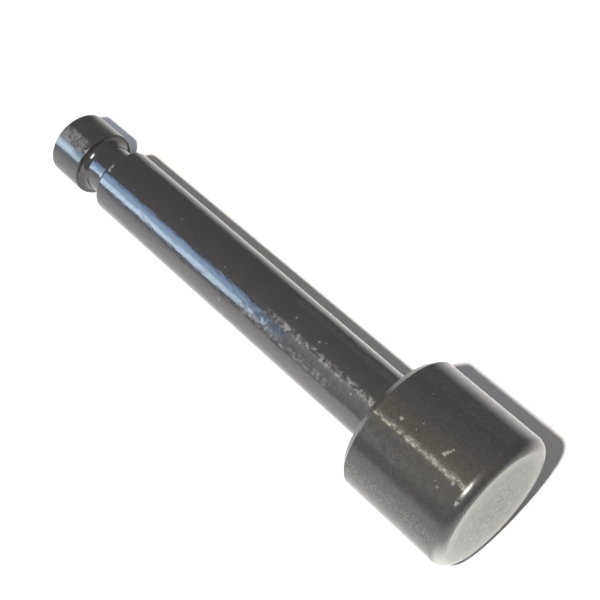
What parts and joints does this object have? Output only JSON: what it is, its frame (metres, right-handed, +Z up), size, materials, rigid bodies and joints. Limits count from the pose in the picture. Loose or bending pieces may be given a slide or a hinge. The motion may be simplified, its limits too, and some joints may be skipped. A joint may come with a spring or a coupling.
{
  "type": "headed grooved pin",
  "caption": "Turned steel pin: a large round head with a rounded edge, a long plain shank and a retaining groove below a collar at the tip.",
  "frame": {"origin": "on the pin's axis, in the plane of the head's underside", "axes": "+X along the axis, from the tip towards the head's outer face; +Z up as the pin lies; the part is round, so Y and Z are alike"},
  "size_m": [0.1071, 0.0254, 0.0254],
  "materials": {
    "blackened_steel": "black oxide over turned steel: glossy ground shank and collar, satin brown-black head, paler worn end face"
  },
  "bodies": {
    "root": {"headed_pin": "blackened_steel"}
  },
  "joints": []
}
